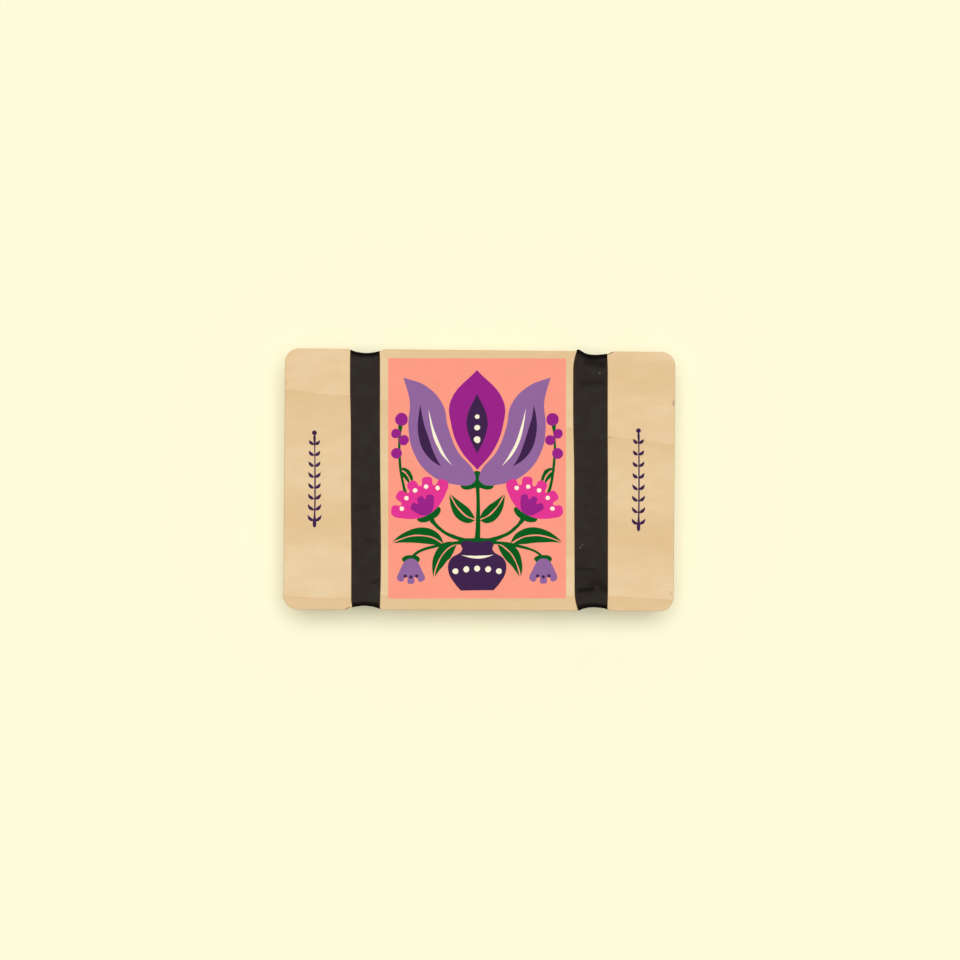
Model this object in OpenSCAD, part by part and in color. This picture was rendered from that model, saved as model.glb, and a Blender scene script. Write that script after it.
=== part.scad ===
// A pocket flower press: two scallop-edged plywood boards clamp a stack of
// corrugated cards and blotting papers, and two rubber bands hold them shut.
//
// The press lies flat. Its long side runs along X and its short side along Y.
// The origin is in the middle of the press, on the table that it lies on.

/* [Boards] */
// Length of both plywood boards
board_length = 180; // [150:1:260]
// Width of both boards
board_width = 120; // [80:1:180]
// Thickness of each board
board_thickness = 4; // [3:0.5:8]
// Radius of the board corners, seen from above
corner_radius = 6.5; // [3:0.5:12]
// Radius sanded on the edges of each board face
arris_radius = 0.4; // [0.2:0.1:0.8]

/* [Notches] */
// Distance from the middle of a long edge to the middle of each notch
notch_x = 52.8; // [46:0.1:60]
// Width of a notch, measured along the edge
notch_width = 16.6; // [16.5:0.1:24]
// Depth of a notch at its middle
notch_depth = 2.3; // [1.5:0.1:3]

/* [Rubber bands] */
// Width of the band on the left
left_band_width = 13.6; // [8:0.1:16]
// Width of the band on the right
right_band_width = 15.6; // [8:0.1:16]
// How far the right band lies off its notch, towards the middle of the press
right_band_offset = 1.5; // [0:0.1:1.8]
// Thickness of the stretched rubber
band_thickness = 0.5; // [0.4:0.1:1.5]
// Gap between a band and the floor of its notch
band_gap = 0.2; // [0.2:0.05:0.5]

/* [Corrugated cards] */
// Number of corrugated cards in the stack
card_count = 6; // [3:1:8]
// Thickness of a corrugated card
card_thickness = 2; // [1.8:0.1:2.4]
// Thickness of the two flat liners of a card
liner_thickness = 0.25; // [0.2:0.05:0.35]
// Thickness of the fluted paper between the liners
medium_thickness = 0.2; // [0.15:0.05:0.3]
// Distance from one flute to the next
flute_pitch = 3.6; // [3.4:0.1:5]
// Gap from the short edge of a card to the short edge of a board
card_end_gap = 4; // [2:0.5:8]
// Gap from the long edge of a card to the floor of the notches
card_notch_gap = 1.7; // [0.5:0.1:4]

/* [Blotting papers] */
// Thickness of a blotting paper
blotter_thickness = 0.4; // [0.3:0.1:0.8]
// How much smaller a blotting paper is than a card, on each edge
blotter_inset = 1; // [0:0.5:4]

/* [Hidden] */
$fn = 96;
// Depth that a flute crest sinks into the glue on a liner
glue_depth = 0.05;
// Length that cutting shapes run past what they cut
overrun = 1;

// One pressing space lies between two cards, and holds two blotting papers
space_count = card_count - 1;
blotter_count = 2 * space_count;

card_length = board_length - 2 * card_end_gap;
card_width = board_width - 2 * (notch_depth + card_notch_gap);
blotter_length = card_length - 2 * blotter_inset;
blotter_width = card_width - 2 * blotter_inset;

// Heights above the table
bottom_board_z = band_thickness;
stack_z = bottom_board_z + board_thickness;
leaf_pitch = card_thickness + 2 * blotter_thickness;
function card_z(i) = stack_z + (i - 1) * leaf_pitch;
function blotter_z(i) = card_z(ceil(i / 2)) + card_thickness + ((i + 1) % 2) * blotter_thickness;
top_board_z = card_z(card_count) + card_thickness;
press_height = top_board_z + board_thickness + band_thickness;

// A notch is an arc of this radius about an axis outside the long edge
notch_radius = (pow(notch_width / 2, 2) + pow(notch_depth, 2)) / (2 * notch_depth);
notch_axis_y = board_width / 2 - notch_depth + notch_radius;

// Each end of a band follows its notches. The back of the rubber lies against
// the boards, and its face looks out, towards the axis of the notch.
band_back_radius = notch_radius - band_gap;
band_face_radius = band_back_radius - band_thickness;

// Over the board edges the rubber bends about an axis inside the board
bend_in_radius = arris_radius + band_gap;
bend_out_radius = bend_in_radius + band_thickness;
bend_axis_radius = band_back_radius + bend_in_radius;

// The fluted paper is a row of arcs, a crest and a trough to each flute
flute_count = round(card_length / flute_pitch);
half_flute = card_length / flute_count / 2;
wave_height = card_thickness - 2 * liner_thickness - medium_thickness + 2 * glue_depth;
wave_radius = (pow(half_flute, 2) + pow(wave_height, 2)) / (4 * wave_height);
wave_angle = asin(half_flute / (2 * wave_radius));

CARD_NODES = [for (i = [1:card_count]) str("card_", i)];
BLOTTER_NODES = [for (i = [1:blotter_count]) str("blotter_", i)];

// A rectangle in the plane with its corners rounded
module rounded_rectangle(size, r) {
    square([size.x - 2 * r, size.y], center = true);
    square([size.x, size.y - 2 * r], center = true);
    for (x = [-1, 1], y = [-1, 1])
        translate([x * (size.x / 2 - r), y * (size.y / 2 - r)]) circle(r = r);
}

// A flat slab on the plane z = 0 with round corners, whose faces meet its
// sides in a small radius. Turned corner posts stand between two extruded bars.
module eased_slab(size, corner, arris) {
    rotate([90, 0, 90])
        linear_extrude(size.x - 2 * corner, center = true)
            translate([0, size.z / 2]) rounded_rectangle([size.y, size.z], arris);
    rotate([90, 0, 0])
        linear_extrude(size.y - 2 * corner, center = true)
            translate([0, size.z / 2]) rounded_rectangle([size.x, size.z], arris);
    for (x = [-1, 1], y = [-1, 1])
        translate([x * (size.x / 2 - corner), y * (size.y / 2 - corner), 0])
            rotate_extrude()
                intersection() {
                    translate([0, size.z / 2]) rounded_rectangle([2 * corner, size.z], arris);
                    square([corner, size.z]);
                }
}

// What the cutter takes out for one notch: a round tool with a flare at each
// face, which leaves the same eased edge as the straight sides have
module notch_cutter() {
    flare_radius = notch_radius + arris_radius;
    flare_z = board_thickness - arris_radius;
    rotate_extrude()
        difference() {
            translate([0, -overrun])
                square([flare_radius, board_thickness + 2 * overrun]);
            translate([notch_radius, arris_radius])
                square([flare_radius, flare_z - arris_radius]);
            for (z = [arris_radius, flare_z])
                translate([flare_radius, z]) circle(r = arris_radius);
        }
}

// One plywood board, with a notch for each band in both long edges
module board(z) {
    color("BurlyWood")
        translate([0, 0, z])
            difference() {
                eased_slab([board_length, board_width, board_thickness],
                           corner_radius, arris_radius);
                for (x = [-1, 1], y = [-1, 1])
                    translate([x * notch_x, y * notch_axis_y, 0]) notch_cutter();
            }
}

// Half of a band's profile, from the axis of a notch to past the middle of the
// press: down the notch wall, and round both bends to the flat runs
module band_profile() {
    run_length = notch_axis_y + notch_width / 2 - bend_axis_radius;
    for (z = [0, press_height - band_thickness])
        translate([bend_axis_radius, z]) square([run_length, band_thickness]);
    translate([band_face_radius, bend_out_radius])
        square([band_thickness, press_height - 2 * bend_out_radius]);
    for (side = [0, 1])
        translate([bend_axis_radius, side ? press_height - bend_out_radius : bend_out_radius])
            mirror([0, side ? 0 : 1])
                intersection() {
                    difference() {
                        circle(r = bend_out_radius);
                        circle(r = bend_in_radius);
                    }
                    translate([-bend_out_radius, 0]) square(bend_out_radius);
                }
}

// A rubber band of a given width, round the boards at their notches. Each end
// is turned about the axis of its notch, so that the band hugs the scallop.
module band(notch_centre, off, width) {
    color("DimGray")
        for (y = [-1, 1])
            intersection() {
                translate([notch_centre, y * notch_axis_y, 0])
                    rotate_extrude() band_profile();
                translate([notch_centre + off - width / 2,
                           y > 0 ? -overrun : -notch_axis_y, 0])
                    cube([width, notch_axis_y + overrun, press_height]);
            }
}

// One arc of the fluted paper, a crest where up is 1 and a trough where it is -1
module half_wave(up) {
    reach = 2 * wave_radius;
    side = reach * sin(wave_angle);
    translate([0, up * (wave_height / 2 - wave_radius)])
        intersection() {
            difference() {
                circle(r = wave_radius + medium_thickness / 2);
                circle(r = wave_radius - medium_thickness / 2);
            }
            polygon([[0, 0], [side, up * reach * cos(wave_angle)], [side, up * reach],
                     [-side, up * reach], [-side, up * reach * cos(wave_angle)]]);
        }
}

// One corrugated card: two flat liners with the fluted paper glued between
// them. The flutes run across the press, the shortest way out for damp air.
module card(i) {
    color("Peru")
        translate([-card_length / 2, card_width / 2, card_z(i)]) {
            for (z = [0, card_thickness - liner_thickness])
                translate([0, -card_width, z]) cube([card_length, card_width, liner_thickness]);
            intersection() {
                translate([0, -card_width, 0]) cube([card_length, card_width, card_thickness]);
                union()
                    for (k = [0:2 * flute_count])
                        translate([k * half_flute, 0, card_thickness / 2])
                            rotate([90, 0, 0])
                                linear_extrude(card_width) half_wave(k % 2 == 0 ? 1 : -1);
            }
        }
}

// One sheet of blotting paper
module blotter(i) {
    color("Ivory")
        translate([-blotter_length / 2, -blotter_width / 2, blotter_z(i)])
            cube([blotter_length, blotter_width, blotter_thickness]);
}

board(bottom_board_z);  // bottom_board
board(top_board_z);  // top_board
band(-notch_x, 0, left_band_width);  // left_band
band(notch_x, -right_band_offset, right_band_width);  // right_band
for (i = [1:card_count])
    card(i);
for (i = [1:blotter_count])
    blotter(i);
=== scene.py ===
# %% [markdown]
# # A pocket flower press
#
# Two plywood boards clamp a stack of corrugated cards and blotting papers, and
# two wide rubber bands hold them shut. The solid model is already made, and it
# is loaded here as a fixed frame. This lesson dresses it: it gives the boards,
# cards and papers their materials, replaces the plain bands by bands that are
# stretched and creased, and prints a picture on the top board.

# %% Load the frame
import math
import random
from collections import namedtuple

import bmesh
import bpy
from mathutils import Euler, Matrix, Vector, noise


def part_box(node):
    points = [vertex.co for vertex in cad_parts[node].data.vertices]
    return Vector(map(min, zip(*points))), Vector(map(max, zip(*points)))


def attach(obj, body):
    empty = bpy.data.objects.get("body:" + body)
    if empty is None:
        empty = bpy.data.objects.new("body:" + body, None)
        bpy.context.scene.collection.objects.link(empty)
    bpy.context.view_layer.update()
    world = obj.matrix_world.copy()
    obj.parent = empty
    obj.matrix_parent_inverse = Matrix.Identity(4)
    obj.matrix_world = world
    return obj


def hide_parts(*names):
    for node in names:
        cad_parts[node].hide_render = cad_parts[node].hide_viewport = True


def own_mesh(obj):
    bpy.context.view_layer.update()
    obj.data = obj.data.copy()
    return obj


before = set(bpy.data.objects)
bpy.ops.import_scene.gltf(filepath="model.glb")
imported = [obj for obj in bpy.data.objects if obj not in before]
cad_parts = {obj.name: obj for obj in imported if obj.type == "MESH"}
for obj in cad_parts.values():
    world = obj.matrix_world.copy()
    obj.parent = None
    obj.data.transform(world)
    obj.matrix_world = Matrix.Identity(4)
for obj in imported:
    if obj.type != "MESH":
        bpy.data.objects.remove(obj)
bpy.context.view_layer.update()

# %% [markdown]
# ## Sizes
#
# The scene is in metres, but a press this small is easier to think of in
# millimetres, so every size below is in millimetres and is scaled once, when a
# mesh is finished. The boards, cards and papers tell their own sizes through
# their boxes. What a box doesn't show is repeated here: the round cutter that
# made the notches, the sanded edge, and how the bands lie in the notches.

# %% Sizes in millimetres
MM = 0.001
# From the middle of a long edge of a board to the middle of each notch
NOTCH_X = 52.8
NOTCH_WIDTH = 16.6
NOTCH_DEPTH = 2.3
# The radius sanded on the edges of the boards
ARRIS = 0.4
# The gap between a band and the floor of its notch
BAND_GAP = 0.2
BAND_THICK = 0.5

board_low, board_high = (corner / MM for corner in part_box("top_board"))
top_face = board_high.z
press_top = top_face + BAND_THICK
# A notch is an arc of this radius about an axis outside the board's long edge.
notch_radius = ((NOTCH_WIDTH / 2) ** 2 + NOTCH_DEPTH ** 2) / (2 * NOTCH_DEPTH)
notch_axis = board_high.y - NOTCH_DEPTH + notch_radius
print(f"top face at {top_face:.2f} mm, notch radius {notch_radius:.2f} mm")

# %% [markdown]
# ## Helpers for materials
#
# Paint and print colours are written as sRGB hex codes, but the renderer mixes
# light, so it needs linear values: one function turns one into the other.
#
# Every node is added by one function. Its settings are the node's own
# properties, and its inputs are values or the outputs of other nodes. Many
# sockets share a name, so most are told by number. A Math node takes its values
# in order. In a Mix node, input 0 is the share, 2 and 3 are two numbers, 4 and 5
# two vectors, and 6 and 7 two colours, and the outputs 0, 1 and 2 give the three
# kinds. In a Map Range node, 0 is the value, 1 and 2 are the range it comes
# from, and 3 and 4 the range it goes to.
#
# A pattern could also be a picture, but a picture has to be wrapped round a
# shape and stretches there. Node patterns fill space instead, so they need only
# the place of each point, here in millimetres.

# %% Colours and nodes
def linear(code):
    """The linear colour of an sRGB hex code such as #E8CA9C."""
    shares = [int(code[i:i + 2], 16) / 255 for i in (1, 3, 5)]
    light = [((c + 0.055) / 1.055) ** 2.4 if c > 0.04045 else c / 12.92 for c in shares]
    return (*light, 1.0)


def add(tree, kind, inputs=None, **settings):
    """Adds a node, sets its properties, and fills or links its inputs."""
    node = tree.nodes.new("ShaderNode" + kind)
    for name, value in settings.items():
        setattr(node, name, value)
    for socket, value in (inputs or {}).items():
        if isinstance(value, bpy.types.NodeSocket):
            tree.links.new(value, node.inputs[socket])
        else:
            node.inputs[socket].default_value = value
    return node


print("#E8CA9C in linear light:", [round(light, 3) for light in linear("#E8CA9C")])

# %% [markdown]
# ## Steps that materials share
#
# Each material starts empty, with its shader and the place of each point. Most
# lay tints over a base colour, each where a mask lets it through, and all of
# them end with a little light and dark and a fine relief. Written once, these
# steps leave in each material only what makes it wood, paper, rubber or ink.

# %% Start, tint and finish a material
def start_material(name):
    """A new material, its node tree, its shader, and the place of each point in
    millimetres."""
    material = bpy.data.materials.new(name)
    material.use_nodes = True
    tree = material.node_tree
    shader = tree.nodes["Principled BSDF"]
    place = add(tree, "TexCoord").outputs["Object"]
    scaled = add(tree, "VectorMath", {0: place, 3: 1 / MM}, operation="SCALE")
    return material, tree, shader, scaled.outputs["Vector"]


def tinted(tree, colour, mask, strength, code):
    """The colour with a tint laid over it, as strongly as a mask lets it through."""
    share = add(tree, "Math", {0: mask, 1: strength}, operation="MULTIPLY").outputs[0]
    return add(tree, "Mix", {0: share, 6: colour, 7: linear(code)}, data_type="RGBA").outputs[2]


def finish_surface(tree, shader, colour, shade, relief, strength, depth):
    """Gives a shader its colour, made lighter or darker by a shade, and a relief
    with a depth in millimetres."""
    colour = add(tree, "HueSaturation", {"Color": colour, "Value": shade}).outputs[0]
    tree.links.new(colour, shader.inputs["Base Color"])
    bump = add(tree, "Bump", {"Height": relief, "Strength": strength, "Distance": depth * MM})
    tree.links.new(bump.outputs[0], shader.inputs["Normal"])


def dress(piece, material):
    """Gives a piece or a solid one material, in place of what it had."""
    piece.data.materials.clear()
    piece.data.materials.append(material)


print("solids in the frame:", len(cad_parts))

# %% [markdown]
# ## Birch plywood
#
# The boards are three plies of rotary-cut birch, glued with their fibres
# crossed and sanded. The eye sees pale, slightly yellow wood with broad soft
# bands along the board, faint lines where the knife crossed the growth rings,
# and fine short fibres. On the edges it sees the plies: long fibres where they
# run along the edge, darker end grain where they stop at it, and thin brown
# glue lines between. A few places are marked by the saw or by knocks.
#
# A picture of wood on each face would not meet at the corners. Instead the
# pattern fills space: every noise is stretched along the fibres, and the core
# ply swaps X and Y. Then the edge shows the right cut through the same wood by
# itself. The next cells each make one part of that pattern.

# %% The plies and the end grain
# The thickness of a face ply, half that of a glue line, and how far the pressed
# plies wander up and down, every 4 mm or so
PLY = 1.2
HALF_GLUE = 0.05
WANDER = 0.08


def plies(tree, wood):
    """The masks of the core ply and the glue lines, and the place in wood whose
    fibres run along X. The core ply lies crosswise, so it swaps X and Y."""
    axes = add(tree, "SeparateXYZ", {0: wood}).outputs
    half = (board_high.z - board_low.z) / 2
    height = add(tree, "Math", {0: axes["Z"], 1: half}, operation="SUBTRACT").outputs[0]
    height = add(tree, "Math", {0: height}, operation="ABSOLUTE").outputs[0]
    wander = add(tree, "TexNoise", {"Vector": wood, "Scale": 0.25, "Detail": 1}).outputs[0]
    wander = add(tree, "MapRange", {0: wander, 3: -WANDER, 4: WANDER}).outputs[0]
    height = add(tree, "Math", {0: height, 1: wander}).outputs[0]
    core = add(tree, "Math", {0: height, 1: half - PLY}, operation="LESS_THAN").outputs[0]
    glue = add(tree, "Math", {0: height, 1: half - PLY, 2: HALF_GLUE},
               operation="COMPARE").outputs[0]
    crossed = add(tree, "CombineXYZ", {0: axes["Y"], 1: axes["X"], 2: axes["Z"]}).outputs[0]
    fibre = add(tree, "Mix", {0: core, 4: wood, 5: crossed}, data_type="VECTOR").outputs[1]
    return core, glue, fibre


def end_grain(tree, core):
    """How far a face looks along the fibres behind it: 0 where they lie in the
    face, and 1 where they stop at it."""
    normal = add(tree, "TexCoord").outputs["Normal"]
    turns = add(tree, "SeparateXYZ", {0: normal}).outputs
    end = add(tree, "Mix", {0: core, 2: turns["X"], 3: turns["Y"]}).outputs[0]
    end = add(tree, "Math", {0: end}, operation="ABSOLUTE").outputs[0]
    return add(tree, "MapRange", {0: end, 1: 0.3, 2: 0.95}).outputs[0]


print("face plies of", PLY, "mm")

# %% The figure of the veneer
# Each noise: its features to a millimetre along, across and through the veneer,
# and its other settings. Bands are about 170 mm long and 29 mm wide, bends of
# the rings 67 by 25 mm, clouds 11 by 5 mm and fibres 14 by 0.7 mm. Birch pores
# are under 0.1 mm wide and wouldn't show, so flecks are drawn 3 by 0.3 mm.
FIGURE = {"bands": ((0.006, 0.035, 0.1), {"Detail": 2.0, "Distortion": 0.6}),
          "bends": ((0.015, 0.04, 0.04), {"Detail": 3.0}),
          "clouds": ((0.09, 0.2, 0.2), {"Detail": 2.0}),
          "fibres": ((0.07, 1.5, 1.5), {"Detail": 4.0, "Roughness": 0.6}),
          "flecks": ((0.3, 3.0, 3.0), {"Detail": 1.0})}


def veneer(tree, fibre):
    """The noises of the veneer by name, each stretched along the fibres."""
    noises = {}
    for key, (scale, settings) in FIGURE.items():
        along = add(tree, "Mapping", {"Vector": fibre, "Scale": scale}).outputs[0]
        noises[key] = add(tree, "TexNoise", {"Vector": along, "Scale": 1.0, **settings}).outputs[0]
    return noises


print("noises of the veneer:", ", ".join(FIGURE))

# %% The growth rings
# From one line to the next across the board, how far a line falls for each
# millimetre along it, and how far it bends, as a share of a step
RING_STEP = 87.3
RING_SLANT = 0.13
RING_BEND = 0.12
# Where the late wood lies between two lines, as a share of a step
LATE_WOOD = 0.62


def growth_rings(tree, fibre, bends, ring_y):
    """Two masks: lines that are crisp on one side and fade on the other, the first
    near ring_y, and soft bands of late wood between them."""
    axes = add(tree, "SeparateXYZ", {0: fibre}).outputs
    line = add(tree, "Math", {0: axes["X"], 1: -RING_SLANT, 2: ring_y},
               operation="MULTIPLY_ADD").outputs[0]
    # The share of the way from one line to the next, 0 just below a line.
    step = add(tree, "MapRange", {0: axes["Y"], 1: line, 2: ring_y - RING_STEP},
               clamp=False).outputs[0]
    step = add(tree, "Math", {0: bends, 1: RING_BEND, 2: step},
               operation="MULTIPLY_ADD").outputs[0]
    step = add(tree, "Math", {0: step}, operation="FRACT").outputs[0]
    lines = add(tree, "Math", {0: 1.0, 1: step}, operation="SUBTRACT").outputs[0]
    lines = add(tree, "Math", {0: lines, 1: 4.0}, operation="POWER").outputs[0]
    late = add(tree, "Math", {0: step, 1: LATE_WOOD}, operation="SUBTRACT").outputs[0]
    late = add(tree, "Math", {0: late}, operation="ABSOLUTE").outputs[0]
    late = add(tree, "MapRange", {0: late, 1: 0.03, 2: 0.2, 3: 1.0, 4: 0.0},
               interpolation_type="SMOOTHSTEP").outputs[0]
    return lines, late


print("growth rings every", RING_STEP, "mm")

# %% [markdown]
# ## The marks on the wood
#
# A used board has small dark marks, where the saw touched it or a corner was
# knocked. They could be dents in the mesh, but they are stains more than holes,
# and so shallow that only their colour shows. Each one is an oval mask in
# space, turned and stretched by a Mapping node, and brown is laid over the wood
# there like any other tint.

# %% The marks
# How far a mark goes into the wood
MARK_DEPTH = 1.5
# Each mark: its middle, half length, half width, turn in degrees and strength
MARKS = [(59.7, 59.1, 2.2, 0.45, 20, 0.95), (-60.7, -59.3, 1.9, 0.4, 24, 0.6),
         (89.4, 36.3, 1.1, 2.1, 0, 0.36), (-89.6, 44.0, 0.7, 1.1, 0, 0.25),
         (88.6, -51.7, 2.5, 0.4, -50, 0.3), (59.9, 20.2, 2.0, 0.35, -5, 0.3)]


def oval_mark(tree, place, middle_x, middle_y, half_length, half_width, turn):
    """The mask of an oval mark on the top face, strongest in its middle."""
    oval = add(tree, "Mapping", {
        "Vector": place, "Location": (middle_x, middle_y, top_face),
        "Rotation": (0, 0, math.radians(turn)), "Scale": (half_length, half_width, MARK_DEPTH)},
        vector_type="TEXTURE").outputs[0]
    oval = add(tree, "VectorMath", {0: oval}, operation="LENGTH").outputs["Value"]
    return add(tree, "MapRange", {0: oval, 1: 0.3, 2: 1.0, 3: 1.0, 4: 0.0}).outputs[0]


print(len(MARKS), "marks on the top board")

# %% The plywood material
def birch_plywood(name, underside, cut_from, ring_y, marks):
    """Three-ply birch for a board whose underside is at that height, cut from
    that place along the log, with a growth ring near ring_y and some marks."""
    material, tree, shader, place = start_material(name)
    wood = add(tree, "VectorMath", {0: place, 1: (cut_from, 0, -underside)}).outputs[0]
    core, glue, fibre = plies(tree, wood)
    noises = veneer(tree, fibre)
    lines, late = growth_rings(tree, fibre, noises["bends"], ring_y)
    bands = add(tree, "MapRange", {0: noises["bands"], 1: 0.32, 2: 0.68}).outputs[0]
    clouds = add(tree, "MapRange", {0: noises["clouds"], 1: 0.35, 2: 0.65}).outputs[0]
    flecks = add(tree, "MapRange", {0: noises["flecks"], 1: 0.68, 2: 0.76}).outputs[0]
    colour = add(tree, "Mix", {0: bands, 6: linear("#ECD1A6"), 7: linear("#E9CA9E")},
                 data_type="RGBA").outputs[2]
    layers = [(lines, 0.4, "#D7AE78"), (late, 0.36, "#DAB07B"), (clouds, 0.3, "#DBBA86"),
              (flecks, 0.16, "#B98B57"), (end_grain(tree, core), 0.7, "#B88B5A"),
              (glue, 0.75, "#6E4A2C")]
    layers += [(oval_mark(tree, place, *oval), strength, "#6E3A22") for *oval, strength in marks]
    for mask, strength, code in layers:
        colour = tinted(tree, colour, mask, strength, code)
    fibres = noises["fibres"]
    shade = add(tree, "MapRange", {0: fibres, 1: 0.25, 2: 0.75, 3: 0.98, 4: 1.02}).outputs[0]
    finish_surface(tree, shader, colour, shade, fibres, 0.15, 0.05)
    rough = add(tree, "MapRange", {0: fibres, 3: 0.55, 4: 0.7}).outputs[0]
    tree.links.new(rough, shader.inputs["Roughness"])
    shader.inputs["Specular IOR Level"].default_value = 0.12
    return material


for node, cut_from, ring_y, marks in (("top_board", 31.0, 29.1, MARKS),
                                      ("bottom_board", -140.0, -12.0, [])):
    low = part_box(node)[0] / MM
    wood_of_board = birch_plywood("sanded birch plywood, " + node, low.z, cut_from, ring_y, marks)
    dress(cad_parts[node], wood_of_board)
    print(node, "is", wood_of_board.name)

# %% [markdown]
# ## Corrugated kraft card
#
# A corrugated card is brown kraft paper: two flat liners glued to a fluted
# sheet. The flutes could be faked by a striped relief, but from the side they
# are a row of real holes. The solid already has them, so the material only
# gives what kraft paper adds: long wood fibres in many directions, cloudy
# darker patches where the pulp was thicker, and a dry, matt surface.

# %% The card material
def kraft_paper(name):
    """Unbleached kraft paper, machine made and uncoated.

    Clouds are 8 mm wide and specks half a millimetre. Kraft fibres are 3 mm long
    and a few hundredths wide, so they are drawn 0.3 mm wide to show."""
    material, tree, shader, place = start_material(name)
    cloud = add(tree, "TexNoise", {"Vector": place, "Scale": 0.12, "Detail": 3.0}).outputs[0]
    streak = add(tree, "Mapping", {"Vector": place, "Scale": (0.35, 3.5, 3.5)}).outputs[0]
    streak = add(tree, "TexNoise", {"Vector": streak, "Scale": 1.0, "Detail": 5.0,
                                    "Roughness": 0.7}).outputs[0]
    speck = add(tree, "TexNoise", {"Vector": place, "Scale": 2.2, "Detail": 2.0}).outputs[0]
    speck = add(tree, "MapRange", {0: speck, 1: 0.66, 2: 0.76}).outputs[0]
    colour = add(tree, "Mix", {0: cloud, 6: linear("#C29A6B"), 7: linear("#A97F52")},
                 data_type="RGBA").outputs[2]
    colour = tinted(tree, colour, speck, 0.4, "#7C5732")
    shade = add(tree, "MapRange", {0: streak, 1: 0.25, 2: 0.75, 3: 0.9, 4: 1.1}).outputs[0]
    finish_surface(tree, shader, colour, shade, streak, 0.4, 0.06)
    shader.inputs["Roughness"].default_value = 0.85
    shader.inputs["Specular IOR Level"].default_value = 0.2
    return material


kraft = kraft_paper("brown kraft paper, uncoated")
cards = sorted(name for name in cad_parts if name.startswith("card_"))
for name in cards:
    dress(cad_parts[name], kraft)
print(len(cards), "cards are", kraft.name)

# %% [markdown]
# ## Blotting paper
#
# Blotting paper is soft, thick and unsized, so that it drinks. It looks warm
# white and a little furry, with a fine cloudy formation and no shine at all.
# The fur could be hair, but at this size it is only an unsteady surface: a fine
# twisted noise gives its relief, and a wider one the clouds.

# %% The blotting paper material
def blotting_paper(name):
    """Soft unsized paper made of long cotton fibres.

    Clouds are 3 mm wide. A cotton fibre is finer than a hair, so the felt is
    drawn with features of 0.3 mm to show."""
    material, tree, shader, place = start_material(name)
    cloud = add(tree, "TexNoise", {"Vector": place, "Scale": 0.3, "Detail": 4.0}).outputs[0]
    felt = add(tree, "TexNoise", {"Vector": place, "Scale": 3.0, "Detail": 4.0,
                                  "Distortion": 1.5}).outputs[0]
    colour = add(tree, "Mix", {0: cloud, 6: linear("#F4EFE2"), 7: linear("#E6DEC9")},
                 data_type="RGBA").outputs[2]
    shade = add(tree, "MapRange", {0: felt, 1: 0.3, 2: 0.7, 3: 0.95, 4: 1.02}).outputs[0]
    finish_surface(tree, shader, colour, shade, felt, 0.5, 0.08)
    shader.inputs["Roughness"].default_value = 0.95
    shader.inputs["Specular IOR Level"].default_value = 0.1
    return material


paper = blotting_paper("soft unsized blotting paper")
sheets = sorted(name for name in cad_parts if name.startswith("blotter_"))
for name in sheets:
    dress(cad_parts[name], paper)
print(len(sheets), "sheets are", paper.name)

# %% [markdown]
# ## The rubber
#
# The bands are natural rubber filled with carbon black, cut from a moulded
# tube. The eye sees a warm black that is never quite even: faint brown and
# grey patches, a fine matt grain, browner lines along the cut edges, and a few
# pale scuffs. Where the stretched rubber folds or turns over an edge, its colour
# is painted nearly black: painted shade, where the surface turns from the light.
#
# Noise can't know where a fold or an edge is. The code that bends the mesh does
# know, so it stores how cut and scuffed each vertex is, and in the attribute fold
# how much painted shade it gets in a crease or on the bend over the board's edge.
# The material reads these attributes. That way the colour follows the shape.

# %% The rubber material
def matt_rubber(name):
    """Carbon-filled natural rubber with a dusting of bloom.

    Patches are 6 mm wide. Bloom is a fine dust, so it is drawn as a grain of
    0.3 mm to show. Rubber's index of refraction is 1.52."""
    material, tree, shader, place = start_material(name)
    patch = add(tree, "TexNoise", {"Vector": place, "Scale": 0.16, "Detail": 3.0}).outputs[0]
    patch = add(tree, "MapRange", {0: patch, 1: 0.35, 2: 0.65}).outputs[0]
    grain = add(tree, "TexNoise", {"Vector": place, "Scale": 3.0, "Detail": 3.0}).outputs[0]
    cut, fold, scuff = (add(tree, "Attribute", attribute_name=mark).outputs["Fac"]
                        for mark in ("cut", "fold", "scuff"))
    colour = add(tree, "Mix", {0: patch, 6: linear("#25211D"), 7: linear("#261D19")},
                 data_type="RGBA").outputs[2]
    # The fold mask is painted shade: near black in creases and on the bend over the board's edge.
    for mask, strength, code in ((cut, 0.8, "#3A2410"), (fold, 0.95, "#050302"),
                                 (scuff, 0.6, "#8C8674")):
        colour = tinted(tree, colour, mask, strength, code)
    shade = add(tree, "MapRange", {0: grain, 1: 0.3, 2: 0.7, 3: 0.94, 4: 1.06}).outputs[0]
    finish_surface(tree, shader, colour, shade, grain, 0.3, 0.03)
    rough = add(tree, "MapRange", {0: patch, 3: 0.6, 4: 0.68}).outputs[0]
    rough = add(tree, "Mix", {0: fold, 2: rough, 3: 1.0}).outputs[0]
    tree.links.new(rough, shader.inputs["Roughness"])
    shader.inputs["Specular IOR Level"].default_value = 0.08
    shader.inputs["IOR"].default_value = 1.52
    return material


rubber = matt_rubber("black natural rubber, matt")
print("the bands will be", rubber.name)

# %% [markdown]
# ## The path of a band
#
# A stretched band lies flat on both boards and hugs the round notches in their
# edges. Each end is a surface of revolution about the axis of a notch: seen
# from the side, it goes up the notch wall, round a small bend and onto the
# board. It could be spun from that side view, but each point then needs its own
# shift for the pull of the rubber. So the path is a list of stations, and each
# one holds two points of the side view, one on the face of the rubber and one
# on its back. A point is a radius from the notch axis and a height.
#
# The lid lifts out of the stack with the bands still on, and the rubber
# stretches along the walls. Here each band is two overlapping halves, like the
# two parts of a matchbox: the lower one stays with the stack and the upper one
# rises with the lid. The lower half is a hair thinner on the walls, so that its
# end is hidden in the upper half.

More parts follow.
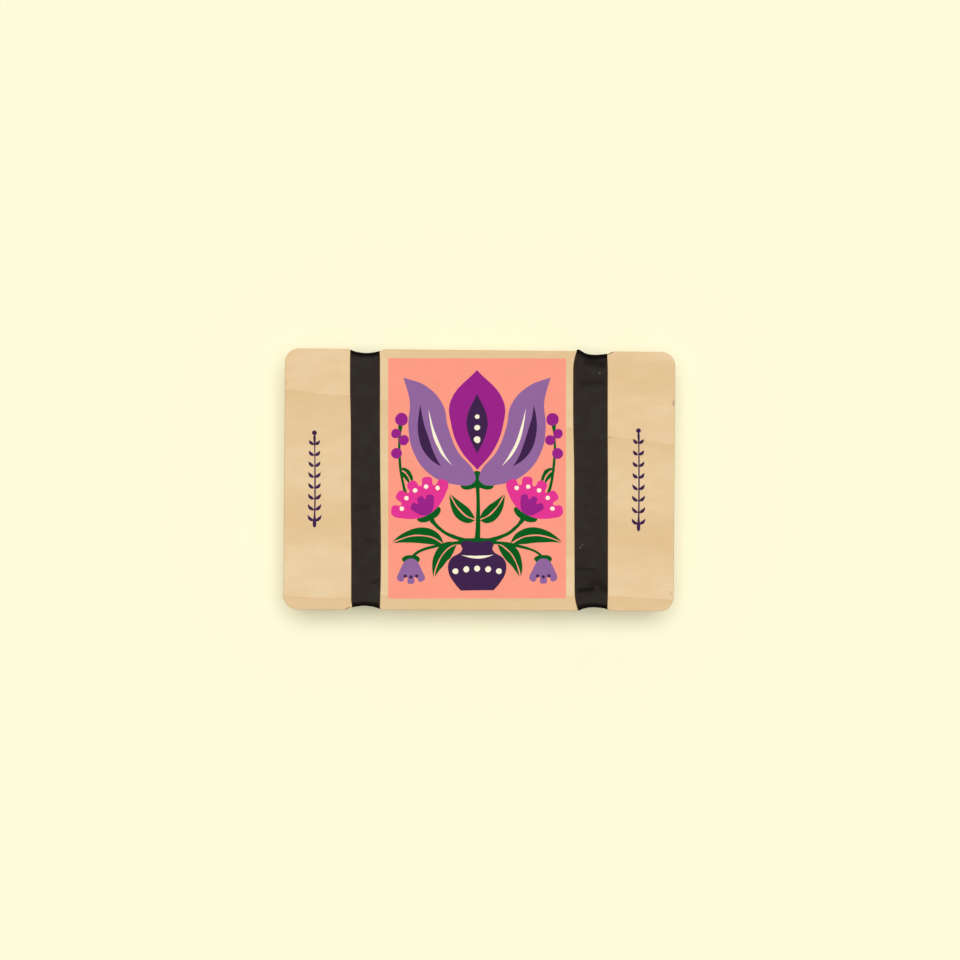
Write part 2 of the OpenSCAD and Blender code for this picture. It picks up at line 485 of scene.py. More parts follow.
# %% Stations along half a band
face_radius = notch_radius - BAND_GAP - BAND_THICK
back_radius = notch_radius - BAND_GAP
bend_in = ARRIS + BAND_GAP
bend_out = bend_in + BAND_THICK
bend_axis = back_radius + bend_in
# How far the lower half stays inside the upper one, on both faces and both edges
HAIR = 0.04
# Steps up a wall, round a bend and along a run. The steps of a run are shorter
# near the board's edge, where the rubber dips.
WALL_STEPS = 12
BEND_STEPS = 10
RUN_STEPS = 96
RUN_BIAS = 1.2


def half_stations(upper):
    """Stations from the end of a wall to the middle of the press, side y > 0.

    Each is (face radius, face height, back radius, back height), for the lower
    half as if it were turned over; its heights are mirrored afterwards."""
    hair = 0 if upper else HAIR
    wall_low = bend_out
    wall_high = press_top - bend_out
    wall = [wall_low + (wall_high - wall_low) * i / WALL_STEPS for i in range(WALL_STEPS)]
    rows = [(face_radius + hair, height, back_radius - hair, height) for height in wall]
    for i in range(BEND_STEPS + 1):
        turn = math.radians(90 * i / BEND_STEPS)
        thin = hair * math.cos(turn)
        rows.append((bend_axis - (bend_out - thin) * math.cos(turn),
                     wall_high + bend_out * math.sin(turn),
                     bend_axis - (bend_in + thin) * math.cos(turn),
                     wall_high + bend_in * math.sin(turn)))
    for i in range(1, RUN_STEPS + 1):
        reach = bend_axis + (notch_axis - bend_axis) * (i / RUN_STEPS) ** RUN_BIAS
        rows.append((reach, press_top, reach, press_top - BAND_THICK))
    return rows


print(len(half_stations(True)), "stations on each side of a band")

# %% [markdown]
# ## Bending a strip round the press
#
# A strip is a flat grid with a thickness: one bmesh operator makes the grid,
# another extrudes it. Then each vertex moves to its place on the path. Its
# first coordinate picks the station, its second one the place across the
# width, and its third one the face or the back. The real bands are narrower
# at the ends, where they pull into the notches, and they wander a little, so
# the two long edges are given as functions of the place along the press.
#
# A curve with a bevel would be quicker, but its cross-section can't lie flat on
# the board and hug a round notch as well, nor change its width on one side only.

# %% Helpers for a strip
# The strip is divided into this many steps across its width.
WIDTH_STEPS = 30

# What tells one band from the other. edges(y) gives its two long edges, and
# pull(dx, side) how far its face is drawn in on a wall. Its folds and scuffs lie
# on the flat runs. There and in pull, X is measured from the middle of the notch.
Band = namedtuple("Band", "notch_x edges pull folds scuffs")


def ease(value, start, end):
    """0 before start, 1 after end, and a smooth step between them."""
    share = min(1.0, max(0.0, (value - start) / (end - start)))
    return share * share * (3 - 2 * share)


def flat_strip(steps):
    """A strip one unit long and wide, with its face at height 0 and its back at 1."""
    shape = bmesh.new()
    bmesh.ops.create_grid(shape, x_segments=steps, y_segments=WIDTH_STEPS, size=0.5)
    grown = bmesh.ops.extrude_face_region(shape, geom=shape.faces[:], use_keep_orig=True)
    backs = [item for item in grown["geom"] if isinstance(item, bmesh.types.BMVert)]
    bmesh.ops.translate(shape, verts=backs, vec=(0, 0, 1))
    # The extrusion lists its new edges and faces in another order on each run, so
    # they are sorted by the numbers of their vertices.
    shape.verts.index_update()
    count = len(shape.verts)
    for items in (shape.edges, shape.faces):
        items.sort(key=lambda item: min(vert.index for vert in item.verts) * count
                   + max(vert.index for vert in item.verts))
    return shape


def share_of_run(radius):
    """0 on a wall or a bend, and from there to 1 in the middle of the press."""
    return max(0.0, (radius - bend_axis) / (notch_axis - bend_axis))


print("a strip is", WIDTH_STEPS, "faces wide")

# %% Where a point lies, seen from above
# On a run, the pull of the wall fades out over this length, and the lower half
# reaches its full width at this share of the way to the middle.
PULL_FADE = 3
FULL_WIDTH_AT = 1 / 20
# The least gap between the back of a band and its notch
BACK_GAP = 0.02
# The width of the brown line along a cut edge
CUT_LINE = 0.9


def seen_from_above(band, side, radius, across, on_back, hair):
    """X and Y of a point of the strip, and how near it is to a cut edge."""
    run = share_of_run(radius)
    low_x, high_x = band.edges(side * (notch_axis - radius))
    inset = hair * max(0.0, 1 - run / FULL_WIDTH_AT)
    x = low_x + inset + (high_x - low_x - 2 * inset) * across
    dx = x - band.notch_x
    sag = (radius - math.sqrt(radius * radius - dx * dx)) * (1 - run)
    drawn = band.pull(dx, side) * (1 - ease(radius - bend_axis, 0, PULL_FADE))
    if on_back:
        drawn = min(drawn, BAND_GAP - BACK_GAP)
    y = side * (notch_axis - radius + sag - drawn)
    return x, y, ease(-min(x - low_x, high_x - x), -CUT_LINE, 0)


print("the back of a band stays", BACK_GAP, "mm or more off its notch")

# %% What the face of the rubber shows
# The rubber is painted dark where it turns over the board's edge: painted shade,
# where the surface turns from the light. The painted shade begins this far below
# the bend, and fades out between these two distances from the wall.
RIM_RISE = 1.5
RIM = (0.7, 3.0)
# How deep the waves of a run are, and how many go to a millimetre in X and Y
WAVINESS = 0.03
WAVES = (0.12, 0.09)
# The depth at which the painted shade of a crease is fully dark
FULL_DARK = 0.2
# Dips reach their full depth at this share of the way to the middle.
FULL_DIP_AT = 1 / 12


def crease(x, y, fold):
    """How strongly a fold marks a place: its line, its slant, and its two ends."""
    middle, slant, spread, start, end = fold
    gap = (y - middle - slant * x) / spread
    return math.exp(-gap * gap) * ease(x, start - 1, start + 1) * ease(-x, -end - 1, 1 - end)


def face_marks(band, x, y, radius, height):
    """How far the face dips at a point, its painted shade there, and how scuffed."""
    rim = 1 - ease(radius - face_radius, *RIM)
    dark = rim * ease(height, press_top - bend_out - RIM_RISE, press_top - bend_out)
    run = share_of_run(radius)
    if run == 0:
        return 0.0, dark, 0.0
    dx = x - band.notch_x
    dip = WAVINESS * (1 + noise.noise(Vector((x * WAVES[0], y * WAVES[1], band.notch_x))))
    for *fold, depth in band.folds:
        mark = crease(dx, y, fold)
        dip += mark * depth
        # A crease is also painted darker, as painted shade.
        dark = min(1.0, dark + mark * depth / FULL_DARK)
    scuffed = sum(math.exp(-((dx - spot_x) ** 2 + (y - spot_y) ** 2) / size ** 2)
                  for spot_x, spot_y, size in band.scuffs)
    return dip * min(1.0, run / FULL_DIP_AT), dark, scuffed


print("a crease is fully dark at", FULL_DARK, "mm")

# %% Bend a strip
# The cut edges of the rubber are a little rounded. An edge is one where the
# surface turns by more than this angle.
EDGE_RADIUS = 0.14
EDGE_ANGLE = math.radians(60)


def make_piece(name, shape, material):
    """Turns a shape in millimetres into an object in metres, and frees the shape."""
    bmesh.ops.scale(shape, vec=(MM, MM, MM), verts=shape.verts[:])
    mesh = bpy.data.meshes.new(name)
    shape.to_mesh(mesh)
    shape.free()
    piece = bpy.data.objects.new(name, mesh)
    bpy.context.scene.collection.objects.link(piece)
    dress(piece, material)
    return piece


def band_half(name, band, upper):
    """The upper or the lower half of a band, bent round the press."""
    side_rows = half_stations(upper)
    stations = [(1, row) for row in side_rows] + [(-1, row) for row in side_rows[-2::-1]]
    steps = len(stations) - 1
    shape = flat_strip(steps)
    cut, fold, scuff = (shape.verts.layers.float.new(mark) for mark in ("cut", "fold", "scuff"))
    hair = 0 if upper else HAIR
    for vert in shape.verts:
        side, row = stations[round((vert.co.x + 0.5) * steps)]
        on_back = vert.co.z > 0.5
        radius, height = row[2:] if on_back else row[:2]
        x, y, vert[cut] = seen_from_above(band, side, radius, vert.co.y + 0.5, on_back, hair)
        if not on_back:
            # fold gets the painted shade of creases and of the bend over the board's edge.
            dip, vert[fold], vert[scuff] = face_marks(band, x, y, radius, height)
            height -= dip
        vert.co = (x, y, height if upper else press_top - height)
    bmesh.ops.recalc_face_normals(shape, faces=shape.faces[:])
    if shape.calc_volume(signed=True) < 0:
        bmesh.ops.reverse_faces(shape, faces=shape.faces[:])
    sharp = [edge for edge in shape.edges if edge.calc_face_angle(0) > EDGE_ANGLE]
    bmesh.ops.bevel(shape, geom=sharp, offset=EDGE_RADIUS, offset_type="OFFSET", segments=3,
                    profile=0.5, affect="EDGES", clamp_overlap=True, material=-1)
    for face in shape.faces:
        face.smooth = True
    return make_piece(name, shape, rubber)


print("cut edges rounded by", EDGE_RADIUS, "mm")

# %% [markdown]
# ## The two bands
#
# The left band sits squarely in its notches. The right one was pulled on
# carelessly: it lies a little towards the print, climbs the shoulder of its
# notches, flares over one of them, and its inner edge swells between them. Both
# lean by the same small angle. These are small things, but a perfectly straight
# band would look like tape, so each edge is written as a sum of soft steps.
#
# Each half rides on the body of its band, and the upper half gets a mesh of its
# own.

# %% How the left band lies
# How far a band leans in X for each millimetre along Y
LEAN = -0.0073
# How far the edges of a band wander, and how many such waves go to a millimetre
EDGE_WANDER = 0.05
EDGE_WAVES = 0.05


def left_edges(y):
    """The left band is pulled narrower near both its ends."""
    shift = LEAN * y + EDGE_WANDER * noise.noise(Vector((y * EDGE_WAVES, 3.1, 0)))
    low = -59.45 - 0.36 * ease(y, 24, 44) + 0.22 * ease(-y, 0, 45)
    high = -46.02 + 0.38 * ease(-y, -20, 30)
    return (low + shift + 0.2 * ease(y, 54, 59) + 0.4 * ease(-y, 54, 59),
            high + shift - 0.2 * ease(y, 54, 59) - 0.4 * ease(-y, 44, 59))


def left_pull(dx, side):
    """The left band lies tight at both ends, and is thinner at both its edges."""
    return 0.2 + 0.25 * ease(abs(dx), 2, 6.5)


print("the left band's edges at the middle:", [round(x, 2) for x in left_edges(0)])

# %% How the right band lies
def right_edges(y):
    """The right band's inner edge is drawn in where it climbs the notch's shoulder,
    and more so at the upper end. Its outer edge is only a little narrower there."""
    shift = LEAN * y + EDGE_WANDER * noise.noise(Vector((y * EDGE_WAVES, 8.7, 0)))
    low = 43.0 + 0.5 * ease(-y, -35, 0) + 0.17 * ease(-y, 10, 45)
    # It is drawn in from 48.3 mm on, and by the whole amount 9.7 mm further out.
    drawn_in = (1.95 if y > 0 else 1.7) * (max(0.0, abs(y) - 48.3) / 9.7) ** 2.3
    return (low + shift + drawn_in,
            59.0 + 0.12 * ease(-y, -30, 0) + shift - 0.22 * ease(abs(y), 50, 59))


def right_pull(dx, side):
    """The right band is thinner at its outer edge. At its upper end the inner edge
    flares away from the shoulder of the notch."""
    flare = 0.5 * ease(-dx, 4, 7.4) * (1 - 0.7 * ease(-dx, 7.2, 8.2))
    return 0.03 + 0.42 * ease(dx, 2, 6) - (flare if side > 0 else 0.0)


print("the right band's edges at the middle:", [round(x, 2) for x in right_edges(0)])

# %% Creases and scuffs
# Each fold: its middle, slant, half width, start, end and depth. A fold dips the
# face and is painted darker by its depth, as painted shade. The last two are
# broad dips near the board's edges, where the right band is pulled down hard,
# with faint painted shade.
LEFT_FOLDS = [(-48.6, 0.3, 0.7, 3.0, 7.2, 0.09), (-28.2, 0.0, 0.9, 0.0, 6.0, 0.05),
              (-12.5, -0.05, 1.2, -5.0, 2.0, 0.04)]
RIGHT_FOLDS = [(-49.9, 0.1, 1.0, -7.4, 0.4, 0.13), (-49.2, -0.05, 1.8, 2.4, 7.0, 0.07),
               (-47.4, 0.2, 1.2, -2.0, 4.0, 0.06), (-40.8, 0.0, 0.7, -8.6, 0.5, 0.08),
               (45.2, 0.03, 1.4, -6.5, 4.5, 0.06), (54.6, -0.16, 1.8, -5.0, 5.0, 0.09),
               (-46.0, 0.0, 9.0, -12.0, 12.0, 0.035), (57.0, 0.0, 12.0, -12.0, 12.0, 0.02)]
# Each scuff: its place and its size
RIGHT_SCUFFS = [(2.1, 49.9, 0.33), (-5.5, -29.5, 0.26), (-6.2, -30.8, 0.26)]
print(len(LEFT_FOLDS), "folds on the left,", len(RIGHT_FOLDS), "on the right")

# %% Make the two bands
BANDS = {"left": Band(-NOTCH_X, left_edges, left_pull, LEFT_FOLDS, []),
         "right": Band(NOTCH_X, right_edges, right_pull, RIGHT_FOLDS, RIGHT_SCUFFS)}

for side, band in BANDS.items():
    for part in ("upper", "lower"):
        piece = band_half(f"{side}_band_{part}", band, part == "upper")
        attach(piece, side + "_loop")
        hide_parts(side + "_band")
        if part == "upper":
            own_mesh(piece)
        print(piece.name, len(piece.data.polygons), "faces")

# %% [markdown]
# ## Drawing for a screen print
#
# The top board carries a print: one layer of matt ink for each colour, pushed
# through a screen onto the bare wood. The drawing here is a made-up folk
# bouquet, with a tulip, carnations, bells, leaves and berries in a vase, cut
# out as if with scissors. In Blender a shape cut from flat paper is a closed 2D
# curve with a fill and a thin extrusion. A few points with automatic handles
# are enough for a soft outline, and a small seeded shake of each point leaves
# the unsteady edge of a hand-cut shape.
#
# Two builders make most outlines. A sweep follows a bent line and keeps
# between two distances from it, which gives stems, leaves and half leaves. A
# fan opens from a point and has a scalloped rim.

# %% Sweeps: stems, leaves and slivers
# Where the two sides of a sweep come nearer than this, they meet in a point.
POINTED = 0.05
# Half the width of the slit along the midrib of a leaf
SLIT = 0.3
# Steps along each side of a sweep
SWEEP_STEPS = 7


def sweep(root, bend, tip, inner, outer):
    """The outline between two distances from a bent line, each a function of the
    share of the way along it. Where they meet, it has one sharp point."""
    root, bend, tip = Vector(root), Vector(bend), Vector(tip)
    near, far = [], []
    for i in range(SWEEP_STEPS + 1):
        t = i / SWEEP_STEPS
        middle = root * (1 - t) ** 2 + bend * 2 * t * (1 - t) + tip * t * t
        ahead = ((bend - root) * (1 - t) + (tip - bend) * t).normalized()
        left = Vector((-ahead.y, ahead.x))
        if abs(outer(t) - inner(t)) < POINTED:
            # A third number marks a sharp point.
            near.append(Vector((*(middle + left * inner(t)), 1)))
        else:
            near.append(middle + left * inner(t))
            far.append(middle + left * outer(t))
    return near + far[::-1]


def stem(root, bend, tip, width):
    """A stem that tapers a little towards its tip."""
    return sweep(root, bend, tip, lambda t: -width * (0.5 - 0.15 * t),
                 lambda t: width * (0.5 - 0.15 * t))


def leaf(root, bend, tip, width):
    """Both halves of a leaf, with a thin slit along the midrib. It is widest a
    little before its middle."""
    def belly(t):
        return SLIT + width / 2 * math.sin(math.pi * t ** 0.85) ** 0.9
    return [sweep(root, bend, tip, lambda t: SLIT, belly),
            sweep(root, bend, tip, lambda t: -SLIT, lambda t: -belly(t))]


def sliver(root, bend, tip, width):
    """A slim shape that is pointed at both ends."""
    return sweep(root, bend, tip, lambda t: -width / 2 * math.sin(math.pi * t),
                 lambda t: width / 2 * math.sin(math.pi * t))


print("a stem has", len(stem((0, 0), (0, 5), (0, 10), 1)), "points")

# %% Fans, spots and mirrored shapes
# Points to a lobe of a fan, and round a spot
LOBE_STEPS = 4
SPOT_POINTS = 8


def fan(centre, facing, radius, spread, lobes, notch):
    """A fan that opens from a centre, with round lobes along its rim."""
    points = [Vector(centre)]
    steps = lobes * LOBE_STEPS
    for i in range(steps + 1):
        angle = math.radians(facing + spread * (0.5 - i / steps))
        reach = radius - notch * (1 - abs(math.sin(math.pi * i / LOBE_STEPS))) ** 2
        points.append(Vector(centre) + Vector((math.cos(angle), math.sin(angle))) * reach)
    return points


def ring(centre, radius, count, start=0.0, span=360.0):
    """Places at even steps along an arc round a centre, in degrees."""
    turns = (math.radians(start + span * i / count) for i in range(count))
    return [Vector(centre) + Vector((math.cos(a), math.sin(a))) * radius for a in turns]


def spot(centre, radius):
    """A round spot."""
    return ring(centre, radius, SPOT_POINTS)


def mirrored(outlines):
    """The outlines, and the same ones on the other side of the middle line."""
    return outlines + [[Vector((-p[0], *p[1:])) for p in outline] for outline in outlines]


print("a fan of three lobes has", len(fan((0, 0), 90, 10, 90, 3, 2)), "points")

# %% [markdown]
# ## From outlines to a layer of ink
#
# The print could be an image on the board, but an image is blurred from close
# by and has no thickness. Real ink is a thin layer, so here it is one too.
#
# Each outline becomes a filled curve of its own, because two shapes that
# overlap in one filled curve would cut each other out. Each curve is turned
# into a mesh, and the meshes of one colour are joined into one layer. A layer
# starts just inside what it is printed on and ends a few hundredths of a
# millimetre higher. Where two shapes of one colour cross, the later one is a
# hair higher, so that no two surfaces share a plane. The board lay a little
# askew under the screen, so the whole print is turned by less than half a
# degree.

# %% Cut out one shape
# The salmon ground, its middle on the board, and its small turn
PRINT_SIZE = (82.0, 110.7)
PRINT_CENTRE = Vector((-1.3, 0.85))
PRINT_TURN = Matrix.Rotation(math.radians(0.42), 4, "Z")
# Straight pieces between two points of an outline
CURVE_STEPS = 6
# A small shape is shaken by no more than this share of its size.
MOST_SHAKE = 0.04
shaky_hand = random.Random(7)


def box_of(outline):
    """The lowest and highest X and Y of an outline."""
    xs, ys = [p[0] for p in outline], [p[1] for p in outline]
    return min(xs), max(xs), min(ys), max(ys)


def cut_out(name, outline, base, height, centre, shake):
    """One outline as a mesh: a filled curve, thick as the ink, in its place."""
    curve = bpy.data.curves.new(name, "CURVE")
    curve.dimensions = "2D"
    curve.fill_mode = "BOTH"
    curve.extrude = height / 2
    curve.resolution_u = CURVE_STEPS
    spline = curve.splines.new("BEZIER")
    spline.bezier_points.add(len(outline) - 1)
    spline.use_cyclic_u = True
    low_x, high_x, low_y, high_y = box_of(outline)
    shake = min(shake, MOST_SHAKE * max(high_x - low_x, high_y - low_y))
    for knot, point in zip(spline.bezier_points, outline):
        knot.co = (point[0] + shaky_hand.uniform(-shake, shake),
                   point[1] + shaky_hand.uniform(-shake, shake), 0)
        kind = "VECTOR" if len(point) > 2 else "AUTO"
        knot.handle_left_type = knot.handle_right_type = kind
    holder = bpy.data.objects.new(name, curve)
    bpy.context.scene.collection.objects.link(holder)
    bpy.context.view_layer.update()
    graph = bpy.context.evaluated_depsgraph_get()
    cut = bpy.data.meshes.new_from_object(holder.evaluated_get(graph))
    middle = Matrix.Translation((centre.x, centre.y, base + height / 2))
    cut.transform(middle @ PRINT_TURN)
    bpy.data.objects.remove(holder)
    return cut


print("the print is", PRINT_SIZE, "mm")

# %% Join the shapes of one ink
# The thickness of a layer of ink, how far it starts inside what it is printed
# on, and how much higher a shape ends that crosses one of its own colour
INK = 0.03
SINK = 0.01
CROSSING = 0.004
# Points nearer than this are one point.
SAME = 0.0005


def steps_up(outlines):
    """For each outline, the first step that no crossing outline before it has."""
    steps = []
    for i, outline in enumerate(outlines):
        a = box_of(outline)
        taken = {steps[j] for j, b in enumerate(map(box_of, outlines[:i]))
                 if a[0] < b[1] and b[0] < a[1] and a[2] < b[3] and b[2] < a[3]}
        steps.append(next(k for k in range(len(outlines)) if k not in taken))
    return steps


def ink_layer(name, outlines, material, under, top, centre, shake=0.12):
    """Joins the outlines, given about a centre, to one layer that is printed on
    the height under it and ends at its top."""
    base = under - SINK
    layer = bmesh.new()
    for outline, step in zip(outlines, steps_up(outlines)):
        height = top + CROSSING * step - base
        layer.from_mesh(cut_out(name, outline, base, height, centre, shake))
    bmesh.ops.remove_doubles(layer, verts=layer.verts[:], dist=SAME)
    bmesh.ops.recalc_face_normals(layer, faces=layer.faces[:])
    piece = make_piece(name, layer, material)
    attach(piece, "lid")
    print(name, len(outlines), "shapes,", len(piece.data.polygons), "faces")


print("ink", INK, "mm thick")

# %% [markdown]
# ## Screen ink
#
# Screen ink on wood is matt and nearly even. The fibres of the veneer still
# show a little in it, as fine streaks along the grain, and the film is a touch
# thicker and darker in places where the squeegee left more. One flat colour
# would look like plastic foil, so two faint noises vary it: one is stretched
# along the grain as the wood's is, and the other is broad.

# %% The ink material
def screen_ink(name, code):
    """Matt water-based screen ink on a sanded veneer.

    Streaks are 17 mm long and 0.6 mm wide, much as the fibres of the wood are
    drawn, and clouds 12 mm wide."""
    material, tree, shader, place = start_material(name)
    streak = add(tree, "Mapping", {"Vector": place, "Scale": (0.06, 1.8, 1.8)}).outputs[0]
    streak = add(tree, "TexNoise", {"Vector": streak, "Scale": 1.0, "Detail": 3.0}).outputs[0]
    cloud = add(tree, "TexNoise", {"Vector": place, "Scale": 0.08, "Detail": 3.0}).outputs[0]
    both = add(tree, "Math", {0: streak, 1: cloud}).outputs[0]
    shade = add(tree, "MapRange", {0: both, 1: 0.7, 2: 1.3, 3: 0.965, 4: 1.03}).outputs[0]
    finish_surface(tree, shader, linear(code), shade, streak, 0.15, 0.03)
    shader.inputs["Roughness"].default_value = 0.75
    shader.inputs["Specular IOR Level"].default_value = 0.05
    return material


INKS = {"salmon": "#FD9C84", "green": "#03581B", "purple": "#91669D", "magenta": "#E53692",
        "violet": "#992187", "plum": "#3D214A", "cream": "#FFF6D8"}
inks = {name: screen_ink(name + " screen ink, matt", code) for name, code in INKS.items()}
print("inks:", ", ".join(inks))

# %% [markdown]
# ## The ground and the bouquet
#
# The salmon ground is a plain rectangle with crisp corners, so it is a cube
# flattened to the thickness of the ink. The bouquet stands on it and is nearly
# the same on both sides, so most shapes are drawn once and mirrored. The
# drawing runs from the largest shapes to the smallest, and the darker and the
# paler inks come last, as a printer would order them.

# %% Print the ground
# The screen leaves the corners a little round.
GROUND_CORNER = 0.35

plate = bmesh.new()
bmesh.ops.create_cube(plate, size=1)
bmesh.ops.scale(plate, vec=(*PRINT_SIZE, INK), verts=plate.verts[:])
upright = [edge for edge in plate.edges
           if abs(edge.verts[0].co.z - edge.verts[1].co.z) > INK / 2]
bmesh.ops.bevel(plate, geom=upright, offset=GROUND_CORNER, offset_type="OFFSET", segments=3,
                profile=0.5, affect="EDGES", clamp_overlap=True, material=-1)
bmesh.ops.transform(plate, matrix=PRINT_TURN, verts=plate.verts[:])
bmesh.ops.translate(plate, vec=(*PRINT_CENTRE, top_face + INK / 2), verts=plate.verts[:])
ground = make_piece("print_ground", plate, inks["salmon"])
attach(ground, "lid")
print("ground", [round(v / MM, 1) for v in ground.dimensions], "mm")

# %% Draw the tulip
# The foot of the tulip in the print
TULIP_Y = -1.0


def at_tulip(points):
    """Moves points from the foot of the tulip to their place."""
    return [Vector((x, y + TULIP_Y, *sharp)) for x, y, *sharp in points]


side_petal = at_tulip([(1.2, -0.6), (11, -1.6), (21.8, 3), (29.4, 13), (31.6, 25), (31, 36),
                       (34, 47.5, 1), (23.6, 43.5), (15.8, 35), (13.4, 24.5), (9, 13.5),
                       (1.2, 3.4)])
heart_petal = at_tulip([(0, 5, 1), (7.6, 14), (12, 25.5), (12.2, 36.5), (0, 51, 1),
                        (-12.2, 36.5), (-12, 25.5), (-7.6, 14)])
heart_core = at_tulip([(0, 12.5, 1), (3.6, 20), (4.8, 28), (0, 40, 1), (-4.8, 28), (-3.6, 20)])
side_core = sliver((16.5, 5.4), (27, 14), (26.2, 34), 4.4)
side_gleam = sliver((11.4, 5.8), (20, 14), (22.4, 32), 1.5)
print("the side petal has", len(side_petal), "points")

# %% Draw the carnations, the vase and the leaves
# Where the carnations and the hanging bells open
PINK = (22.2, -16.6)
BELL = (30.5, -37.0)

vase = [(0, -29.4), (7.4, -29.8), (7.0, -33.0), (12.4, -37.4), (13.4, -42.6), (10.4, -48.4),
        (7.6, -51.6, 1), (-7.6, -51.6, 1), (-10.4, -48.4), (-13.4, -42.6), (-12.4, -37.4),
        (-7.0, -33.0), (-7.4, -29.8)]
green = [stem((0, -30), (1.0, -16), (0, -1), 2.3), fan((0, -4.2), 90, 7.6, 200, 5, 2.2),
         *mirrored([stem((1, -29), (15.5, -28), (21.2, -18.6), 2.0),
                    stem((2.4, -29), (29, -31), (30.5, -37.5), 1.6),
                    stem((31.5, -10), (37.4, 2), (35.2, 27), 1.4),
                    fan((20.9, -19.2), 62, 6.8, 150, 3, 1.8),
                    *leaf((1, -19), (7.5, -17.8), (12.6, -7.4), 6.4),
                    *leaf((15.5, -30.4), (25, -22.5), (39, -29.6), 6.8),
                    *leaf((9.5, -30.2), (17.5, -33), (20, -45.5), 6.6),
                    *leaf((35.9, 4), (31.5, 3), (30.2, -3.6), 3.6),
                    fan((30.5, -35.4), 270, 4.6, 160, 3, 1.3)])]
purple = mirrored([side_petal, fan(BELL, 270, 11.6, 82, 3, 3.0)])
magenta = mirrored([fan(PINK, 60, 17.4, 134, 5, 3.8)])
violet = [heart_petal,
          *mirrored([fan(PINK, 60, 9.2, 96, 3, 2.0), spot((37.2, 11.5), 2.5),
                     spot((33.7, 17.6), 2.3), spot((37.4, 20.6), 2.2),
                     spot((34.8, 27.2), 2.9)])]
plum = [vase, heart_core,
        *mirrored([side_core, *(spot(p, 0.75) for p in ring(BELL, 8.4, 3, 252, 54))])]
cream = [*(spot((0, y), r) for y, r in ((17.8, 1.5), (23.4, 1.25), (28.4, 1.0))),
         *(spot((x, -41.6 - 0.012 * x * x), 1.35) for x in (-10, -5, 0, 5, 10)),
         sliver((-7.6, -35.2), (0, -37.4), (7.6, -35.2), 1.3),
         *mirrored([side_gleam, *(spot(p, 1.0) for p in ring(PINK, 12.8, 5, 12, 120))])]
print(len(green), "green,", len(purple), "purple,", len(violet), "violet shapes")

# %% Print the bouquet
# Each ink ends this much higher than the one before it.
INK_STEP = 0.02

top_of_ground = top_face + INK
for colour, outlines in (("green", green), ("purple", purple), ("magenta", magenta),
                         ("violet", violet), ("plum", plum), ("cream", cream)):
    level = 1 + list(INKS).index(colour)
    ink_layer("print_" + colour, outlines, inks[colour],
              top_of_ground, top_of_ground + INK_STEP * level, PRINT_CENTRE)

# %% [markdown]
# ## Two small sprigs
#
# Both ends of the board carry a small upright motif in plum ink, a leafy sprig
# on each side. It fills the bare wood beside the bands without drawing the eye
# from the bouquet. The same sweeps make it, only smaller and with a smaller
# shake, and a loop sets its leaves in pairs, each pair shorter than the last.

# %% Print the sprigs
def sprig(length, pairs):
    """An upright sprig with pairs of leaves and a bud at its tip. Each leaf is
    widest a little before its middle."""
    def belly(t):
        return 0.75 * math.sin(math.pi * t ** 0.8)
    shapes = [stem((0, -length / 2), (0.5, 0), (0, length / 2 - 2), 0.75)]
    for i in range(pairs):
        y = -length / 2 + length * (i + 0.6) / (pairs + 0.9)
        size = 3.1 - 0.8 * i / pairs
        for side in (-1, 1):
            shapes.append(sweep((side * 0.1, y), (side * size * 0.8, y + 0.4),
                                (side * size, y + size * 0.9), lambda t: -belly(t), belly))
    return shapes + [spot((0, length / 2 - 1.1), 1.1)]


for name, centre, length in (("sprig_left", Vector((-76.1, 0.1)), 44.5),
                             ("sprig_right", Vector((73.3, 0.8)), 47.5)):
    ink_layer(name, sprig(length, 8), inks["plum"],
              top_face, top_face + INK, centre, shake=0.05)

# %% [markdown]
# ## Light, floor and camera
#
# The press lies on a cream table and is photographed from straight above. A
# wide soft lamp stands beyond its upper edge and throws the short shadow below
# the lower one. A narrower lamp from overhead keeps that shadow pale, and the
# world adds a little light from all sides. Area lamps close by would light the
# table unevenly, so both lamps are far ones. Their levels are set so that the
# floor shows the colour that it is painted in. A view that looks past the floor
# sees the same cream in the world, which is for the eye only and lights nothing.
#
# A camera close by would show more of the press's sides, and a very far one none
# at all. From 80 cm above, the sides show as little as in the photograph.

# %% The floor
FLOOR = "#FEFBDA"
# Half the side of the floor, far more than the camera sees
FLOOR_REACH = 6000

flat = bmesh.new()
bmesh.ops.create_grid(flat, x_segments=1, y_segments=1, size=FLOOR_REACH)
paint, _, shader, _ = start_material("cream table paint")
shader.inputs["Base Color"].default_value = linear(FLOOR)
shader.inputs["Roughness"].default_value = 1.0
shader.inputs["Specular IOR Level"].default_value = 0.0
floor = make_piece("floor", flat, paint)
print("floor painted", FLOOR)

# %% The world
# The light that the world adds from all sides
FILL = 0.12

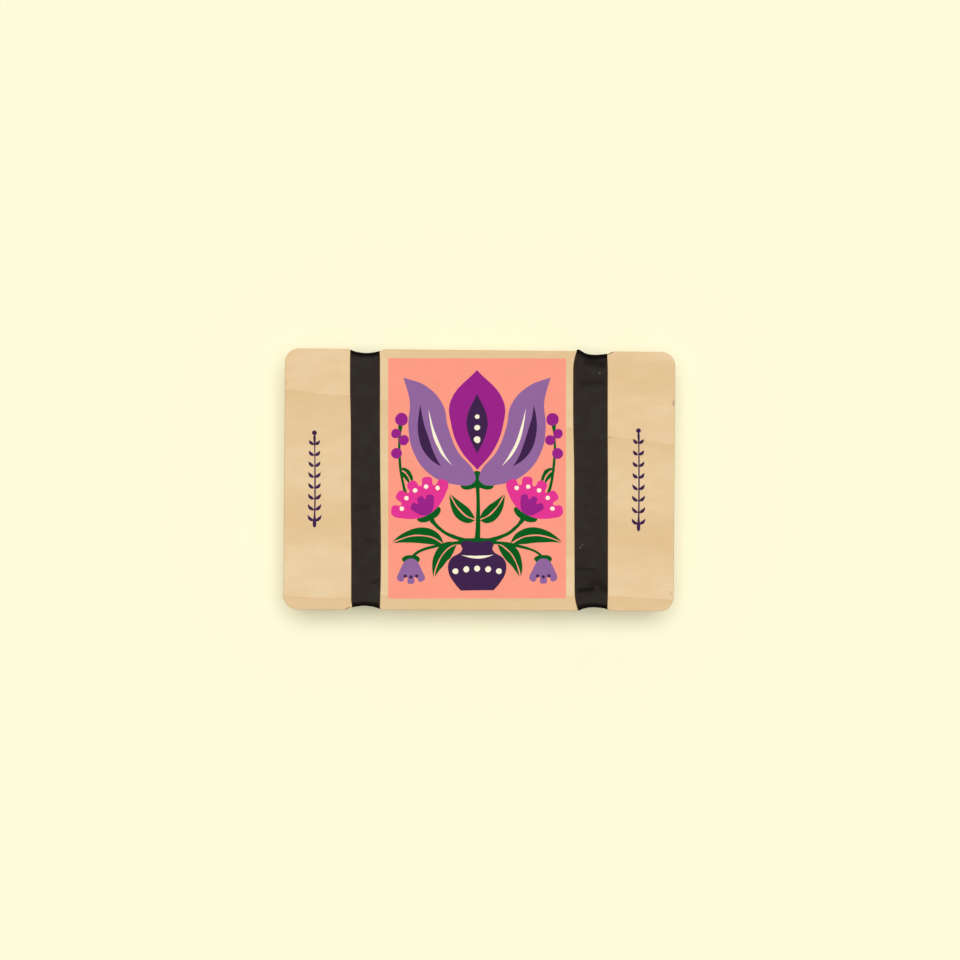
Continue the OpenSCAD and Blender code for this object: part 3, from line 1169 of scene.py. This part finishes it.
world = bpy.data.worlds.new("studio")
bpy.context.scene.world = world
world.use_nodes = True
tree = world.node_tree
tree.nodes.clear()
ray = add(tree, "LightPath").outputs
seen = add(tree, "Math", {0: ray["Is Camera Ray"], 1: ray["Is Glossy Ray"]},
           operation="MAXIMUM").outputs[0]
seen = add(tree, "Math", {0: seen, 1: ray["Is Transmission Ray"]}, operation="MAXIMUM").outputs[0]
fill = add(tree, "Background", {"Color": (1, 1, 1, 1), "Strength": FILL}).outputs[0]
shown = add(tree, "Background", {"Color": linear(FLOOR), "Strength": 1.0}).outputs[0]
mixed = add(tree, "MixShader", {0: seen, 1: fill, 2: shown}).outputs[0]
add(tree, "OutputWorld", {0: mixed})
print("world", world.name, "with", FILL, "of fill light")

# %% Lamps
def lamp(name, tilt, spread, power):
    """A far soft lamp. The tilt is in degrees from overhead towards +Y."""
    light = bpy.data.lights.new(name, "SUN")
    light.energy = power
    light.angle = math.radians(spread)
    holder = bpy.data.objects.new(name, light)
    holder.rotation_euler = (math.radians(-tilt), 0, 0)
    bpy.context.scene.collection.objects.link(holder)


lamp("wide soft lamp", 9.0, 47.0, 2.46)
lamp("overhead lamp", 1.0, 6.0, 0.33)

# %% Camera
# From the top face to the camera, and how wide it sees there
DISTANCE = 800
VIEW_WIDTH = 442.5
# How far up the press the middle of the picture lies
PICTURE_Y = 0.1
# The camera was held a little to one side and turned, here in degrees.
CAMERA_LEAN = -1.8
CAMERA_TURN = 0.42

target = Vector((0, PICTURE_Y * MM, top_face * MM))
turn = Euler((0, math.radians(CAMERA_LEAN), math.radians(CAMERA_TURN)))
camera_data = bpy.data.cameras.new("camera")
camera_data.sensor_width = 36.0
camera_data.lens = camera_data.sensor_width * DISTANCE / VIEW_WIDTH
camera = bpy.data.objects.new("camera", camera_data)
camera.rotation_euler = turn
camera.location = target + turn.to_matrix() @ Vector((0, 0, DISTANCE * MM))
bpy.context.scene.collection.objects.link(camera)
bpy.context.scene.camera = camera
bpy.context.scene.view_settings.view_transform = "Standard"
print("camera", [round(v, 3) for v in camera.location])
